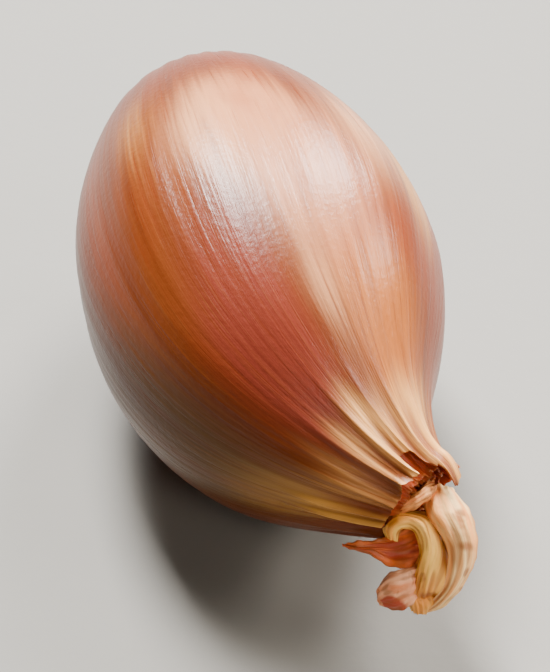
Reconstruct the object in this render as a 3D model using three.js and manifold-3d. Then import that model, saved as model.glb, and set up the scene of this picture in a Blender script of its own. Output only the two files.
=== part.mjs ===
// A long brown shallot lying on its side, in millimetres, +Z up.
// +X runs from the root end to the neck, +Y is the side that the neck bends to, and the origin is
// the centre of the small flat spot that the bulb rests on.
import * as THREE from 'three';
import { mergeVertices } from 'three/addons/utils/BufferGeometryUtils.js';
import Module from 'manifold-3d';

// ---- driving dimensions -------------------------------------------------------------------------

// Bulb: control points [distance along the axis from the root end, radius] of its smooth outline.
const OUTLINE = [
  [0, 2.2], [0, 4.9], [0.3, 8.3], [5, 12.6], [13.5, 16.9], [24.5, 20.3],
  [36, 21.1], [46, 19.2], [54, 16.4], [61, 11.4], [67, 7.2], [71, 4.4], [76, 4],
];
const REST_STATION = 33;        // axis distance from the root end to the middle of the rest spot
const REST_FLAT = 0.35;         // how deep the round side is flattened where it rests
const BEND_START = 37;          // the axis is straight up to here
const BEND_LENGTH = 33;         // and turns sideways over this length
const BEND_ANGLE = 41;          // degrees towards +Y that it would reach at the end of that length
const NECK_ANGLE = 40;          // degrees; the neck runs straight on once it has turned this far
const NECK_DROP = 2;            // how far the axis sinks over the same length

// Relief of the skin: soft ridges of the cloves inside, one of them below, and pleats at the neck.
const SWELL = [[3, 0.3], [5, 0.15]];      // [how many round, height]
const PLEAT_COUNT = 15;
const PLEAT_HEIGHT = 0.8;
const PLEAT_START = 54;         // axis distance where they begin
const STRAND_START = 57;        // a straw-like ridge low on one side of the neck
const STRAND_HEIGHT = 0.8;
const STRAND_ANGLE = -92;       // degrees round the axis, from the top
const STRAND_WIDTH = 7;         // degrees

// Torn collar of the skin, in two layers. Angles are in degrees round the axis, from the top.
const COLLAR_ROOT = 62;         // the layers part here
const OUTER_TEAR = 70.4;        // mean axis distance of the outer layer's torn edge
const OUTER_SLANT = 2.1;        // and how much further it reaches on its long side
const SLANT_ANGLE = 70;         // the long side
const NOTCH = 2.2;              // a deeper tear in the outer layer
const NOTCH_ANGLE = -16;
const NOTCH_WIDTH = 14;
const INNER_TEAR = 70.8;        // mean axis distance of the inner layer's edge
const INNER_SLANT = 0.9;
const RAGGED = [[5, 0.35], [11, 0.25]];   // [teeth round, height] of the torn edges
const SKIN = 0.6;               // thickness of each layer
const LAYER_GAP = 0.3;          // between the layers where they part
const FLARE = 0.5;              // how far the outer layer lifts off at its longest
const CUP_FLOOR = 66;           // axis distance of the floor of the cup that holds the leaf stalk

const GAP = 0.3;                // between separate pieces

// Root end.
const PLATE_RADIUS = 4.2;
const PLATE_DEPTH = 1.2;        // how deep the plate sits in the bulb
const PLATE_RISE = 1.5;         // how far it stands out
const PLATE_DOME = 0.3;         // and how much more at its middle
const ROOTLETS = 46;
const ROOTLET_RADIUS = 0.42;
const ROOTLET_LENGTH = [3, 6];  // shortest and longest
const ROOT_SUNK = 0.9;          // how deep a rootlet starts in the plate

// Dried leaf bases: a short stalk and the strips that grow from it.
const LEAF_THICKNESS = 0.8;
const STALK_IN_CUP = { stations: [CUP_FLOOR + 2 * GAP, 69, 72.5], radius: 2.2 };
const STALK_BEYOND = {
  points: [[38.4, 11.3, 17.2], [39.9, 11.5, 15], [40.5, 11.1, 13.2]],
  radii: [2.7, 2.5, 1.4],
};
// Each strip has the points of its middle line, its width and the way its face looks there, and
// its bow: half the angle that it curves through from edge to edge, negative for a trough.
const LEAVES = {
  cream: {
    points: [
      [36.2, 10.2, 18.4], [38, 11.3, 19.5], [39.8, 12.1, 17.7], [41.1, 13, 14.2],
      [41.7, 12.8, 10.9], [41.5, 11.5, 7.6], [41, 9.6, 5.6],
    ],
    widths: [3, 5, 5, 3.8, 3, 2.8, 2],
    faces: [
      [0.5, -0.1, 0.85], [0.55, -0.1, 0.8], [0.75, 0, 0.65], [0.85, 0.1, 0.5], [0.95, 0, 0.3],
      [0.95, -0.1, 0], [0.9, -0.2, -0.2],
    ],
    bow: 55,
  },
  golden: {
    points: [
      [36.4, 9.7, 17.8], [37.8, 9.8, 17.2], [39.4, 9.9, 15.8], [40.7, 10, 13.9], [41.6, 9.7, 11.6],
      [41.8, 8.9, 9.4],
    ],
    widths: [2.4, 3, 3.6, 4.2, 4.6, 3.2],
    faces: [
      [0.6, -0.5, 0.65], [0.65, -0.45, 0.6], [0.75, -0.4, 0.5], [0.8, -0.4, 0.4],
      [0.85, -0.4, 0.3], [0.8, -0.4, 0.2],
    ],
    bow: 40,
  },
  spike: {
    points: [[39.6, 9, 13.7], [39.3, 6.4, 14.1], [38.7, 3.7, 14.4], [37.8, 0.5, 14.7]],
    widths: [4.2, 3.6, 2.3, 0.7],
    faces: [[0.6, -0.3, 0.75], [0.6, -0.3, 0.75], [0.5, -0.2, 0.85], [0.5, -0.2, 0.85]],
    bow: -50,
  },
  lobe: {
    points: [[41.2, 9.4, 10.6], [41.8, 7.1, 11.6], [41.7, 5.3, 11.1], [41.2, 4.1, 9.8]],
    widths: [3, 3.4, 3.4, 2.8],
    faces: [[0.85, -0.2, 0.5], [0.85, -0.3, 0.5], [0.8, -0.5, 0.4], [0.7, -0.7, 0.2]],
    bow: 60,
  },
};
// The golden strip's near edge, rolled to a cord round a small hollow.
const RIM = {
  points: [
    [39.2, 5.2, 16.1], [39, 5.4, 17.6], [39.1, 6.9, 18.4], [39.8, 8.2, 18], [40.8, 8.8, 16.5],
    [41.7, 8.6, 14.3], [42.3, 7.6, 12.8],
  ],
  radii: [0.45, 0.6, 0.65, 0.65, 0.6, 0.6, 0.5],
};

// Fineness of the faceted surfaces.
const AROUND = 72;              // columns round the bulb
const ALONG = 30;               // rows along its outside
const LEAF_GRID = [14, 4];      // rows and columns of a strip

// ---- curves -------------------------------------------------------------------------------------

const radians = THREE.MathUtils.degToRad;

function ramp(value, from, to) {
  return THREE.MathUtils.smoothstep(value, from, to);
}

// Point at t (0 to 1) of the uniform cubic B-spline with these control points.
function bspline(points, t) {
  const spans = points.length - 3;
  const at = THREE.MathUtils.clamp(t, 0, 1) * spans;
  const first = Math.min(Math.floor(at), spans - 1);
  const w = at - first;
  const weights = [
    (1 - w) ** 3, 3 * w ** 3 - 6 * w ** 2 + 4, -3 * w ** 3 + 3 * w ** 2 + 3 * w + 1, w ** 3,
  ];
  return points[first].map((_, k) => (
    weights.reduce((sum, weight, i) => sum + weight * points[first + i][k], 0) / 6
  ));
}

// Outline as a table of [axis distance, radius], for looking up a radius.
const outlineTable = Array.from({ length: 401 }, (_, i) => bspline(OUTLINE, i / 400));
const OUTLINE_END = outlineTable.at(-1)[0];

function outlineRadius(station) {
  const after = outlineTable.findIndex(([s]) => s > station);
  if (after === 0) return outlineTable[0][1];
  if (after < 0) return outlineTable.at(-1)[1];
  const [s0, r0] = outlineTable[after - 1];
  const [s1, r1] = outlineTable[after];
  return r0 + (r1 - r0) * (station - s0) / (s1 - s0);
}

const widest = Math.max(...outlineTable.map(([, radius]) => radius));
const swellBelow = SWELL.reduce((sum, [, height]) => sum + height, 0);
const AXIS_HEIGHT = widest + swellBelow - REST_FLAT;

// Axis of the bulb: where it is, and which way it heads, at a distance from the root end.
const AXIS_STEP = 0.25;
const axisTable = (() => {
  const table = [];
  let x = -REST_STATION;
  let y = 0;
  for (let station = 0; station <= 90; station += AXIS_STEP) {
    const turned = Math.max(station - BEND_START, 0) / BEND_LENGTH;
    const heading = radians(Math.min(BEND_ANGLE * turned ** 1.5, NECK_ANGLE));
    table.push({ x, y, heading, z: AXIS_HEIGHT - NECK_DROP * turned ** 2 });
    x += AXIS_STEP * Math.cos(heading);
    y += AXIS_STEP * Math.sin(heading);
  }
  return table;
})();

function axisAt(station) {
  if (station < 0) return { x: station - REST_STATION, y: 0, z: AXIS_HEIGHT, heading: 0 };
  const at = THREE.MathUtils.clamp(station / AXIS_STEP, 0, axisTable.length - 1.001);
  const a = axisTable[Math.floor(at)];
  const b = axisTable[Math.floor(at) + 1];
  const w = at - Math.floor(at);
  const mix = (key) => a[key] * (1 - w) + b[key] * w;
  return { x: mix('x'), y: mix('y'), z: mix('z'), heading: mix('heading') };
}

// Point at a radius and an angle round the axis; angle 0 is up and a quarter turn is the +Y side.
function aroundAxis(station, angle, radius) {
  const { x, y, z, heading } = axisAt(station);
  const side = radius * Math.sin(angle);
  const height = z + radius * Math.cos(angle);
  return new THREE.Vector3(
    x - side * Math.sin(heading), y + side * Math.cos(heading), Math.max(height, 0),
  );
}

// ---- solids -------------------------------------------------------------------------------------

// Closed mesh through rings of points; the first and the last ring are each one point.
function skinOver(rings) {
  const positions = [];
  const index = [];
  const starts = rings.map((ring) => {
    const start = positions.length / 3;
    ring.forEach((p) => positions.push(p.x, p.y, p.z));
    return start;
  });
  for (let r = 0; r + 1 < rings.length; r += 1) {
    const a = rings[r].length;
    const b = rings[r + 1].length;
    const n = Math.max(a, b);
    for (let i = 0; i < n; i += 1) {
      const here = starts[r] + (i % a);
      const hereNext = starts[r] + ((i + 1) % a);
      const there = starts[r + 1] + (i % b);
      const thereNext = starts[r + 1] + ((i + 1) % b);
      if (a > 1) index.push(here, there, hereNext);
      if (b > 1) index.push(hereNext, there, thereNext);
    }
  }
  const geometry = new THREE.BufferGeometry();
  geometry.setAttribute('position', new THREE.Float32BufferAttribute(positions, 3));
  geometry.setIndex(index);
  return geometry;
}

const wasm = await Module();
wasm.setup();
const SAME_POINT = 1e-3;

function toSolid(geometry) {
  const merged = mergeVertices(geometry, SAME_POINT);
  return new wasm.Manifold(new wasm.Mesh({
    numProp: 3,
    vertProperties: new Float32Array(merged.attributes.position.array),
    triVerts: new Uint32Array(merged.index.array),
  }));
}

function toGeometry(solid) {
  const mesh = solid.getMesh();
  const geometry = new THREE.BufferGeometry();
  geometry.setAttribute('position', new THREE.Float32BufferAttribute(mesh.vertProperties, 3));
  geometry.setIndex(new THREE.Uint32BufferAttribute(mesh.triVerts, 1));
  return geometry;
}

// Pieces joined in one body. Only its outer surface is kept, so enclosed hollows are filled.
function joined(geometries) {
  const whole = geometries.map(toSolid).reduce((all, solid) => all.add(solid));
  const shells = toSolid(toGeometry(whole)).decompose();
  return toGeometry(shells.reduce((best, shell) => (shell.volume() > best.volume() ? shell : best)));
}

function named(name, geometry, color, roughness) {
  geometry.computeVertexNormals();
  const mesh = new THREE.Mesh(
    geometry, new THREE.MeshStandardMaterial({ color, roughness, metalness: 0 }),
  );
  mesh.name = name;
  return mesh;
}

// ---- bulb ---------------------------------------------------------------------------------------

// Narrow ridges with wider hollows between them, unevenly spaced, that die out away from the neck.
function pleat(station, angle) {
  const uneven = 0.9 * Math.sin(2 * angle + 1) + 0.7 * Math.sin(3 * angle);
  const ridge = 0.5 - Math.abs(Math.sin(PLEAT_COUNT * angle / 2 + uneven));
  return PLEAT_HEIGHT * ramp(station, PLEAT_START, OUTER_TEAR) * ridge;
}

// Turn from a direction given in degrees to an angle, between minus and plus half a turn.
function turnFrom(degrees, angle) {
  const turn = angle - radians(degrees);
  return Math.atan2(Math.sin(turn), Math.cos(turn));
}

function strand(station, angle) {
  const away = turnFrom(STRAND_ANGLE, angle) / radians(STRAND_WIDTH);
  return STRAND_HEIGHT * Math.exp(-(away ** 2)) * ramp(station, STRAND_START, STRAND_START + 6);
}

function swell(station, angle) {
  const around = SWELL.reduce(
    (sum, [count, height]) => sum + height * Math.cos(count * (angle - Math.PI)), 0,
  );
  return around * Math.sin(Math.PI * Math.min(station / OUTLINE_END, 1));
}

function relief(station, angle) {
  return swell(station, angle) + pleat(station, angle) + strand(station, angle);
}

function ragged(angle) {
  return RAGGED.reduce((sum, [teeth, height]) => sum + height * Math.sin(teeth * angle + 1), 0);
}

function outerTear(angle) {
  const notch = NOTCH * Math.exp(-((turnFrom(NOTCH_ANGLE, angle) / radians(NOTCH_WIDTH)) ** 2));
  const slant = OUTER_SLANT * Math.cos(angle - radians(SLANT_ANGLE));
  return OUTER_TEAR + slant - notch + ragged(angle);
}

function innerTear(angle) {
  return INNER_TEAR + INNER_SLANT * Math.cos(angle) + ragged(angle + 1);
}

// Outer layer of the skin, and the inner layer that shows where the outer one is torn away.
function outerRadius(station, angle) {
  const lifted = Math.max(station - COLLAR_ROOT, 0) / (OUTLINE_END - COLLAR_ROOT);
  return outlineRadius(station) + relief(station, angle) + FLARE * lifted ** 2;
}

function innerRadius(station, angle) {
  return 0.97 * outlineRadius(station) - SKIN - LAYER_GAP + 0.4 * relief(station, angle + 0.3);
}

function ringAt(stationOf, radiusOf) {
  return Array.from({ length: AROUND }, (_, i) => {
    const angle = (i / AROUND) * 2 * Math.PI;
    const station = stationOf(angle);
    return aroundAxis(station, angle, radiusOf(station, angle));
  });
}

// Rings from the socket of the root plate, over the outside to the torn edge of the outer layer,
// back under it to where the layers part, out along the inner layer and down into its cup.
function bulb() {
  const rings = [[aroundAxis(PLATE_DEPTH, 0, 0)]];
  rings.push(ringAt(() => PLATE_DEPTH, () => PLATE_RADIUS + GAP));
  for (let i = 0; i <= ALONG; i += 1) {
    const plain = bspline(OUTLINE, i / ALONG)[0];
    const stretched = ramp(plain, COLLAR_ROOT - 10, OUTLINE_END);
    rings.push(ringAt(
      (angle) => plain + stretched * (outerTear(angle) - OUTLINE_END), outerRadius,
    ));
  }
  const between = THREE.MathUtils.lerp;
  [0, 0.5, 1].forEach((share) => rings.push(ringAt(
    (angle) => between(outerTear(angle) - 0.2, COLLAR_ROOT, share),
    (station, angle) => outerRadius(station, angle) - SKIN,
  )));
  [0.1, 0.55, 1].forEach((share) => rings.push(ringAt(
    (angle) => between(COLLAR_ROOT, innerTear(angle), share), innerRadius,
  )));
  [0, 1].forEach((share) => rings.push(ringAt(
    (angle) => between(innerTear(angle) - 0.1, CUP_FLOOR, share),
    (station, angle) => innerRadius(station, angle) - SKIN,
  )));
  rings.push([aroundAxis(CUP_FLOOR, 0, 0)]);
  return skinOver(rings);
}

// ---- neck leaves --------------------------------------------------------------------------------

const vector = ([x, y, z]) => new THREE.Vector3(x, y, z);

function valueAlong(values, t) {
  const points = values.map((value) => new THREE.Vector2(value, 0));
  return new THREE.SplineCurve(points).getPoint(t).x;
}

// Closed strip of a leaf: a grid of middle points, each moved half the thickness to either face.
function leaf({ points, widths, faces, bow }) {
  const [rows, columns] = LEAF_GRID;
  const line = new THREE.CatmullRomCurve3(points.map(vector));
  const look = new THREE.CatmullRomCurve3(faces.map(vector));
  const half = radians(bow);
  const upper = [];
  const lower = [];
  for (let r = 0; r <= rows; r += 1) {
    const t = r / rows;
    const middle = line.getPoint(t);
    const ahead = line.getTangent(t);
    const face = look.getPoint(t).projectOnPlane(ahead).normalize();
    const across = new THREE.Vector3().crossVectors(ahead, face);
    const bowRadius = valueAlong(widths, t) / 2 / Math.sin(half);
    for (let c = 0; c <= columns; c += 1) {
      const angle = half * (2 * c / columns - 1);
      const out = new THREE.Vector3().addScaledVector(face, Math.cos(angle))
        .addScaledVector(across, Math.sin(angle));
      const point = middle.clone().addScaledVector(face, -bowRadius)
        .addScaledVector(out, bowRadius);
      upper.push(point.clone().addScaledVector(out, LEAF_THICKNESS / 2));
      lower.push(point.clone().addScaledVector(out, -LEAF_THICKNESS / 2));
    }
  }
  return sheet(upper, lower, rows, columns);
}

// Closed mesh between two grids of points, both split into triangles the same way.
function sheet(upper, lower, rows, columns) {
  const positions = [...upper, ...lower].flatMap((p) => [p.x, p.y, p.z]);
  const index = [];
  const at = (r, c) => r * (columns + 1) + c;
  const under = upper.length;
  for (let r = 0; r < rows; r += 1) {
    for (let c = 0; c < columns; c += 1) {
      const [a, b, d, e] = [at(r, c), at(r, c + 1), at(r + 1, c), at(r + 1, c + 1)];
      index.push(a, b, d, b, e, d);
      index.push(under + a, under + d, under + b, under + b, under + d, under + e);
    }
  }
  const rim = [];
  for (let c = 0; c < columns; c += 1) rim.push(at(0, c));
  for (let r = 0; r < rows; r += 1) rim.push(at(r, columns));
  for (let c = columns; c > 0; c -= 1) rim.push(at(rows, c));
  for (let r = rows; r > 0; r -= 1) rim.push(at(r, 0));
  rim.forEach((here, i) => {
    const next = rim[(i + 1) % rim.length];
    index.push(here, under + here, next, next, under + here, under + next);
  });
  const geometry = new THREE.BufferGeometry();
  geometry.setAttribute('position', new THREE.Float32BufferAttribute(positions, 3));
  geometry.setIndex(index);
  return geometry;
}

// Closed round cord along points, with a radius at each of them.
function cord({ points, radii }, steps, sides) {
  const line = new THREE.CatmullRomCurve3(points.map(vector));
  const { normals, binormals } = line.computeFrenetFrames(steps);
  const rings = [[line.getPointAt(0)]];
  for (let k = 0; k <= steps; k += 1) {
    const radius = valueAlong(radii, k / steps);
    const middle = line.getPointAt(k / steps);
    rings.push(Array.from({ length: sides }, (_, i) => {
      const turn = -(i / sides) * 2 * Math.PI;
      return middle.clone().addScaledVector(normals[k], radius * Math.cos(turn))
        .addScaledVector(binormals[k], radius * Math.sin(turn));
    }));
  }
  rings.push([line.getPointAt(1)]);
  return skinOver(rings);
}

function neckLeaves() {
  const { stations, radius } = STALK_IN_CUP;
  const inCup = stations.map((station) => aroundAxis(station, 0, 0).toArray());
  const stalk = cord({
    points: [...inCup, ...STALK_BEYOND.points],
    radii: [...stations.map(() => radius), ...STALK_BEYOND.radii],
  }, 12, 14);
  return joined([stalk, ...Object.values(LEAVES).map(leaf), cord(RIM, 18, 6)]);
}

// ---- root plate ---------------------------------------------------------------------------------

// Repeatable random numbers between 0 and 1.
function seeded(seed) {
  let state = seed;
  return () => {
    state = (state * 1664525 + 1013904223) % 4294967296;
    return state / 4294967296;
  };
}

// One curling rootlet. Their bases are spread evenly over the plate, a golden angle apart.
function rootlet(random, place) {
  const angle = place * Math.PI * (3 - Math.sqrt(5));
  const spread = Math.sqrt((place + 0.5) / ROOTLETS);
  const out = new THREE.Vector3(0, Math.sin(angle), Math.cos(angle));
  const at = new THREE.Vector3(-REST_STATION - PLATE_RISE + ROOT_SUNK, 0, AXIS_HEIGHT)
    .addScaledVector(out, spread * (PLATE_RADIUS - 0.7));
  const step = THREE.MathUtils.lerp(...ROOTLET_LENGTH, random()) / 4;
  const heading = new THREE.Vector3(-1, 0, 0);
  heading.addScaledVector(out, 0.2 + 0.9 * spread * random());
  const points = [at.toArray()];
  for (let k = 0; k < 4; k += 1) {
    at.addScaledVector(heading.normalize(), k === 0 ? step + ROOT_SUNK : step);
    points.push(at.toArray());
    heading.add(new THREE.Vector3(-0.1, random() - 0.5, random() - 0.6));
    heading.x = Math.min(heading.x, -0.25);
  }
  const radii = [1, 0.95, 0.8, 0.75, 0.65].map((share) => share * ROOTLET_RADIUS);
  return cord({ points, radii }, 5, 4);
}

// Disc with rounded edges, made as rings from its outer face to the side in the bulb.
function plateDisc() {
  const sides = 28;
  const rings = [
    [-PLATE_RISE - PLATE_DOME, 0], [-PLATE_RISE, PLATE_RADIUS - 0.8], [-0.6, PLATE_RADIUS],
    [0.2, PLATE_RADIUS], [PLATE_DEPTH - GAP, PLATE_RADIUS - 0.3], [PLATE_DEPTH - GAP, 0],
  ];
  return skinOver(rings.map(([station, radius]) => Array.from(
    { length: radius ? sides : 1 },
    (_, i) => aroundAxis(station, (i / sides) * 2 * Math.PI, radius),
  )));
}

function rootPlate() {
  const random = seeded(7);
  const roots = Array.from({ length: ROOTLETS }, (_, place) => rootlet(random, place));
  return joined([plateDisc(), ...roots]);
}

// ---- the shallot --------------------------------------------------------------------------------

const shallot = new THREE.Group();
shallot.add(
  named('bulb', bulb(), 0xa5562c, 0.35),
  named('neck_leaves', neckLeaves(), 0xdcb083, 0.6),
  named('root_plate', rootPlate(), 0x8a7450, 0.9),
);

export default shallot;
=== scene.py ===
# %% [markdown]
# # A long brown shallot
#
# A shallot is a bulb of fleshy scales inside a few dry, papery skins. It has three pieces of its
# own: the bulb with its skins, the dried leaf bases at the neck and the root plate with its
# rootlets. The engineering model holds them as plain solids. This script replaces each of them by
# fine surfaces of the same form and gives them their finish.
#
# Every surface here is a function of two numbers, worked out with numpy as whole arrays.

# %% Load the fixed frame
import math

import bpy
import numpy as np
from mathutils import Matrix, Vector


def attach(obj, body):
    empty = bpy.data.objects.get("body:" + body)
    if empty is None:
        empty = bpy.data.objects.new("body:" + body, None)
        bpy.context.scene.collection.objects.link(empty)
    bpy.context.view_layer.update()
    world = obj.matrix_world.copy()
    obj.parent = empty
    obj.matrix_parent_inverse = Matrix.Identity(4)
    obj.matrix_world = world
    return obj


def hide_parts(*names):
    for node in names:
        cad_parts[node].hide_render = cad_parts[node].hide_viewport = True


MM = 0.001  # lengths are in millimetres until they become a mesh
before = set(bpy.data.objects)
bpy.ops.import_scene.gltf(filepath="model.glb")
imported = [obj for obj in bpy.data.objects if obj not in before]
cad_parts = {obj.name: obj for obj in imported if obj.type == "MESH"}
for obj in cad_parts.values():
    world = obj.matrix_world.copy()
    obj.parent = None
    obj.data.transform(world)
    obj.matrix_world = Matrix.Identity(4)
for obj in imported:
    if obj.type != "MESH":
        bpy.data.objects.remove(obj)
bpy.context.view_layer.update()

# %% [markdown]
# ## The camera
# The bulb lies on a table and is seen from above and from its neck end. A long lens from half a
# metre keeps the perspective as weak as it is for the eye. The camera could be placed by hand, but
# an azimuth and an elevation round a point inside the bulb say plainly where it stands.

# %% Camera
CAMERA_AZIMUTH = 76.4  # degrees; 0 looks along +Y and 90 along -X
CAMERA_ELEVATION = 43.0
CAMERA_DISTANCE = 450.0
LOOK_AT = np.array([4.85, 0.68, 16.6])
PIXELS_PER_MM = 8.656  # at the point looked at
FRAME_HEIGHT = 672  # pixels; the frame's long side
SENSOR = 36.0  # width of the film, mm
NEAR_CLIP = 0.01  # metres


def direction(azimuth, elevation):
    """Unit vector towards a place at this azimuth and elevation, in degrees."""
    a, e = math.radians(azimuth), math.radians(elevation)
    return np.array([math.sin(a) * math.cos(e), -math.cos(a) * math.cos(e), math.sin(e)])


def aim(thing, azimuth, elevation, distance, target):
    """Puts a camera or a light on a sphere round the target, in millimetres, looking at it."""
    away = direction(azimuth, elevation)
    thing.location = (target + distance * away) * MM
    thing.rotation_euler = Vector(-away).to_track_quat("-Z", "Y").to_euler()
    bpy.context.scene.collection.objects.link(thing)
    return thing


camera = bpy.data.objects.new("camera", bpy.data.cameras.new("camera"))
camera.data.sensor_width = SENSOR
camera.data.lens = SENSOR * CAMERA_DISTANCE * PIXELS_PER_MM / FRAME_HEIGHT
camera.data.clip_start = NEAR_CLIP
aim(camera, CAMERA_AZIMUTH, CAMERA_ELEVATION, CAMERA_DISTANCE, LOOK_AT)
bpy.context.scene.camera = camera
print("lens, mm:", round(camera.data.lens, 1))

# %% [markdown]
# ## Smooth curves and soft noise
# A bulb's outline is one smooth curve. A uniform cubic B-spline gives it from a few control
# points and never overshoots. Where a curve has to pass through its points, as in a leaf, a
# Catmull-Rom curve does. Uneven relief could be sculpted, but a sum of plane waves in random
# directions is simpler: it is smooth, has no seam where the surface closes, and a seed makes it
# repeatable.


# %% Curve helpers
def ramp(value, low, high):
    """0 below low and 1 above high, with the smooth step 3t^2 - 2t^3 between them."""
    t = np.clip((np.asarray(value, float) - low) / (high - low), 0, 1)
    return t * t * (3 - 2 * t)


def b_spline(points, t):
    """Uniform cubic B-spline at t from 0 to 1: four neighbouring points with the cubic weights."""
    points = np.asarray(points, float)
    spans = len(points) - 3
    at = np.clip(t, 0, 1) * spans
    first = np.minimum(at.astype(int), spans - 1)
    w = (at - first)[..., None]
    weights = [(1 - w) ** 3, 3 * w**3 - 6 * w**2 + 4, -3 * w**3 + 3 * w**2 + 3 * w + 1, w**3]
    return sum(weight * points[first + i] for i, weight in enumerate(weights)) / 6


def through(points, t):
    """Catmull-Rom curve through all the points at t from 0 to 1, its ends run on straight."""
    points = np.asarray(points, float)
    ends = [2 * points[:1] - points[1:2], points, 2 * points[-1:] - points[-2:-1]]
    padded = np.concatenate(ends)
    at = np.clip(t, 0, 1) * (len(points) - 1)
    first = np.minimum(at.astype(int), len(points) - 2)
    w = (at - first).reshape(at.shape + (1,) * (points.ndim - 1))
    a, b, c, d = (padded[first + i] for i in range(4))
    return 0.5 * (2 * b + (c - a) * w + (2 * a - 5 * b + 4 * c - d) * w**2
                  + (3 * b - a - 3 * c + d) * w**3)


# %% Noise and bells
WAVES = 20  # plane waves in each sum


def unit(vectors):
    """Each vector divided by its length."""
    return vectors / np.linalg.norm(vectors, axis=-1, keepdims=True)


def ripples(points, wavelength, seed):
    """Sum of sines of plane waves in seeded random directions, near one wavelength."""
    random = np.random.default_rng(seed)
    heading = unit(random.normal(size=(WAVES, 3)))
    heading *= 2 * np.pi / (wavelength * random.uniform(0.7, 1.4, (WAVES, 1)))
    phase = random.uniform(0, 2 * np.pi, WAVES)
    return np.sin(points @ heading.T + phase).sum(-1) / math.sqrt(WAVES)


def turn_from(degrees, angle):
    """Turn from a direction in degrees to an angle, from minus to plus half a turn."""
    turn = angle - math.radians(degrees)
    return np.arctan2(np.sin(turn), np.cos(turn))


def ridge(angle, degrees, width):
    """Bell exp(-x^2) of the turn from a direction, over a width in degrees."""
    return np.exp(-((turn_from(degrees, angle) / math.radians(width)) ** 2))


def bell(station, angle, at, turn, length, width):
    """Product of a bell along the axis and one round it, 1 at its middle."""
    away = turn_from(turn, angle) / math.radians(width)
    return np.exp(-((station - at) / length) ** 2 - away**2)


print("a bell one width away:", round(float(bell(0.0, 0.0, 1, 0, 1, 1)), 3))


# %% [markdown]
# ## The bulb's form
# A shallot is nearly a solid of revolution, but its neck leans to one side, so a lathe isn't
# enough. The bulb is a skin over a bent axis. A point has a distance along the axis, measured from
# the root end, and an angle round it, 0 at the top. The same named sizes as in the solid give the
# same form here.

# %% The bulb's driving sizes
OUTLINE = [
    [0, 2.2], [0, 4.9], [0.3, 8.3], [5, 12.6], [13.5, 16.9], [24.5, 20.3],
    [36, 21.1], [46, 19.2], [54, 16.4], [61, 11.4], [67, 7.2], [71, 4.4], [76, 4],
]
REST_STATION, REST_FLAT = 33, 0.35  # where the bulb rests, and how much is flattened there
BEND_START, BEND_LENGTH, BEND_ANGLE, NECK_ANGLE, NECK_DROP = 37, 33, 41, 40, 2
SWELL = [[3, 0.3], [5, 0.15]]  # waves round the bulb and their height
PLEAT_COUNT, PLEAT_HEIGHT, PLEAT_START = 15, 0.8, 57
STRAND_START, STRAND_HEIGHT, STRAND_ANGLE = 60, 0.6, -92
COLLAR_ROOT, OUTER_TEAR, FLARE = 62, 70.4, 0.5
TEAR = [  # the outer skin's torn edge: degrees, distance along the axis
    [-140, 70], [-110, 69.9], [-80, 70.4], [-63, 70.9], [-50, 71], [-34, 71.3], [-24, 72],
    [-19, 72.1], [-16.5, 69.6], [-14, 69], [-8, 69.2], [0, 69.7], [5, 71.2], [9, 72.5],
    [16, 73.8], [26, 74.8], [38, 74.5], [55, 73.2], [80, 72.2], [120, 71.2], [180, 70.2],
]
PLATE_RADIUS, PLATE_DEPTH, PLATE_RISE, GAP = 4.2, 1.2, 1.5, 0.3
CUP_FLOOR = 66

outline_table = b_spline(OUTLINE, np.linspace(0, 1, 401))
OUTLINE_END = outline_table[-1, 0]
WIDEST = outline_table[:, 1].max()
AXIS_HEIGHT = WIDEST + sum(height for _, height in SWELL) - REST_FLAT
print(f"widest radius {WIDEST:.2f} mm, axis {AXIS_HEIGHT:.2f} mm above the table")

# %% Points round the bent axis
AXIS_STEP = 0.25
axis_stations = np.arange(0, 90, AXIS_STEP)
turned = np.maximum(axis_stations - BEND_START, 0) / BEND_LENGTH
axis_heading = np.radians(np.minimum(BEND_ANGLE * turned**1.5, NECK_ANGLE))
axis_x = np.cumsum(AXIS_STEP * np.cos(axis_heading)) - AXIS_STEP - REST_STATION
axis_y = np.cumsum(AXIS_STEP * np.sin(axis_heading))
axis_z = AXIS_HEIGHT - NECK_DROP * turned**2
print(f"the axis turns by {np.degrees(axis_heading.max()):.0f} degrees at the neck")


def around_axis(station, angle, radius):
    """The axis point at a distance, plus the radius towards an angle in the cut square to it."""
    heading = np.interp(station, axis_stations, axis_heading)
    x = np.interp(station, axis_stations, axis_x) + np.minimum(station, 0)
    y = np.interp(station, axis_stations, axis_y)
    z = np.interp(station, axis_stations, axis_z) + radius * np.cos(angle)
    side = radius * np.sin(angle)
    x, y = x - side * np.sin(heading), y + side * np.cos(heading)
    return np.stack([x, y, np.maximum(z, 0)], -1)


def grain(station, angle):
    """Coordinates along the skin's fibres: a circle as wide as the bulb, and the distance."""
    circle = [WIDEST * np.cos(angle), WIDEST * np.sin(angle), station + 0 * angle]
    return np.stack(np.broadcast_arrays(*circle), -1)


# %% [markdown]
# ## Relief of the skin
# The dry skin shows the cloves under it as soft swells. Fine veins run from end to end, the skin
# puckers at the root plate, and it is gathered in sharp pleats where the neck dries and narrows.
# A bump map would do for the veins, but not for the pleats, which show against the light. So all
# of it is a height over the outline, added up from simple waves. The numbers in each ramp are
# places along the axis, in millimetres from the root end.

# %% Relief
VEINS = 86  # lengthwise veins that the mesh itself carries
VEIN_HEIGHT = 0.035
VEIN_WIDTH = 0.9  # degrees
FINE_PLEATS, FINE_PLEAT_HEIGHT, FINE_PLEAT_END = 21, 0.14, 69
STRAND_GAP = 4  # degrees from the strand's middle to each of its two cords
DENT_SIZE, DENT_HEIGHT = 11, 0.12
STREAK_SIZE, STREAK_HEIGHT = 2.4, 0.02
PUCKERS, PUCKER_HEIGHT = 26, 0.1


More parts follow.
